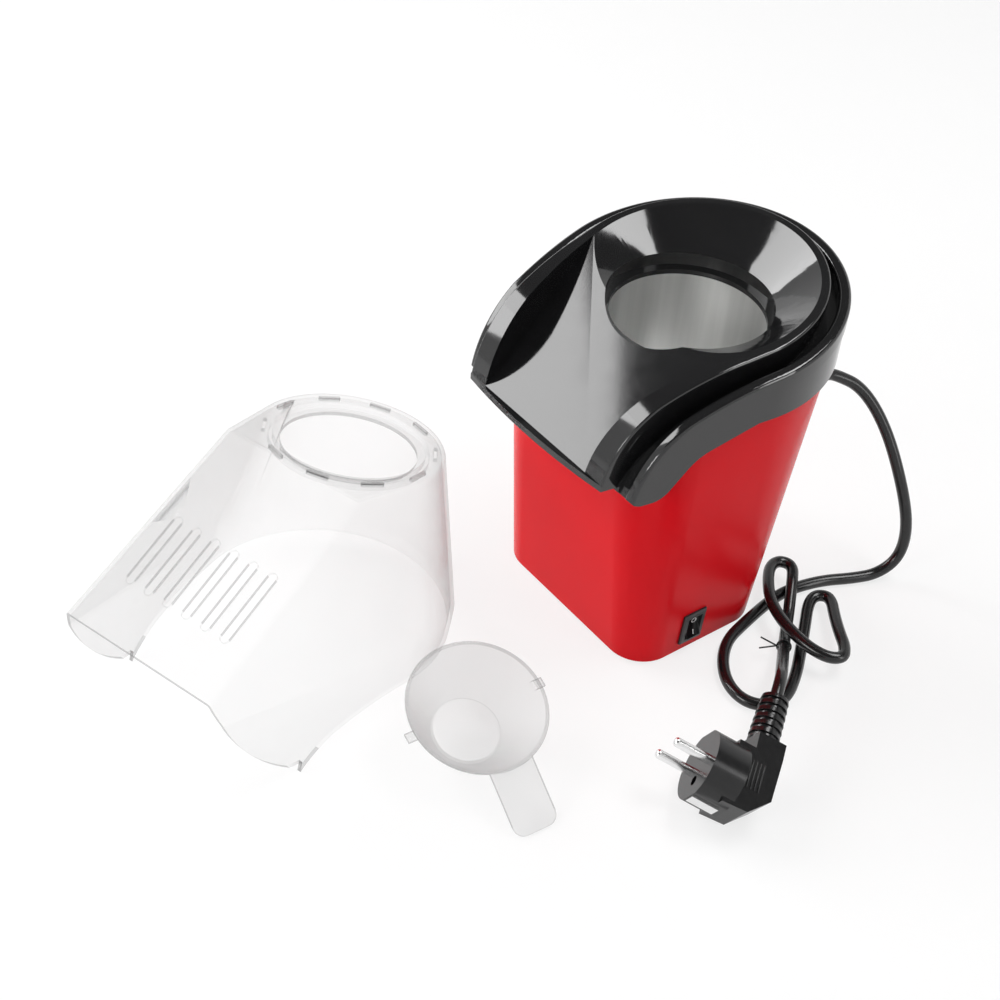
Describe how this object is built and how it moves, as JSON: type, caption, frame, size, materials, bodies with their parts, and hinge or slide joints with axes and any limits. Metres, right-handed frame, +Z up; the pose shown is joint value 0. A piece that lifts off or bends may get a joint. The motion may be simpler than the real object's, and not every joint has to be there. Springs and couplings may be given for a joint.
{
  "type": "hot-air popcorn maker",
  "caption": "Tabletop hot-air popcorn maker: tapered housing, funnel top with chute, vented popping chamber, fan and heater, rocker switch, mains cord, loose clear hood and cup.",
  "frame": {"origin": "middle of the base on the surface that the machine stands on", "axes": "+Z up, -Y towards the chute at the front, +X to the side with the switch"},
  "size_m": [0.3008, 0.4342, 0.2033],
  "materials": {
    "red_gloss": "glossy moulded",
    "black_gloss": "polished moulded",
    "black_matte": "satin moulded",
    "duct_plastic": "heat-proof moulded",
    "chamber_metal": "spun and brushed",
    "bright_metal": "plated",
    "motor_steel": "zinc plated",
    "board": "bare laminate",
    "mica": "pressed sheet",
    "heater_wire": "oxidised wire",
    "cord_rubber": "satin",
    "clear_plastic": "clear polished plastic"
  },
  "bodies": {
    "machine": {"top_cover": "black_gloss", "housing": "red_gloss", "base_plate": "black_matte", "switch_frame": "black_matte", "switch_terminals": "bright_metal", "base_screws": "bright_metal", "air_duct": "duct_plastic", "popping_chamber": "chamber_metal", "motor_body": "motor_steel", "motor_bracket": "motor_steel", "bracket_screws": "bright_metal", "rectifier_board": "board", "rectifier_diodes": "black_matte", "mica_plate_across": "mica", "mica_plate_along": "mica", "heating_coil": "heater_wire", "thermostat": "black_matte", "thermal_fuse": "bright_metal", "strain_relief": "cord_rubber", "plug_body": "cord_rubber", "plug_pins": "bright_metal", "plug_earth_clips": "bright_metal", "power_cord": "cord_rubber", "cord_tie": "cord_rubber"},
    "rotor": {"motor_shaft": "bright_metal", "fan": "black_matte"},
    "rocker": {"switch_rocker": "black_gloss"},
    "hood": {"hood": "clear_plastic"},
    "measuring_cup": {"measuring_cup": "clear_plastic"}
  },
  "joints": [
    {"name": "fan_spin", "type": "hinge", "parent": "machine", "child": "rotor", "pos_m": [0, 0.0125, 0.05], "axis": [0, 0, 1], "continuous": true},
    {"name": "switch_press", "type": "hinge", "parent": "machine", "child": "rocker", "pos_m": [0.05791, -0.0095, 0.01766], "axis": [0, 1, 0], "range_deg": [0, 20]},
    {"name": "hood_lift", "type": "slide", "parent": "machine", "child": "hood", "axis": [0, 0, 1], "range_m": [0, 0.25]},
    {"name": "cup_lift", "type": "slide", "parent": "machine", "child": "measuring_cup", "axis": [0, 0, 1], "range_m": [0, 0.2]}
  ]
}
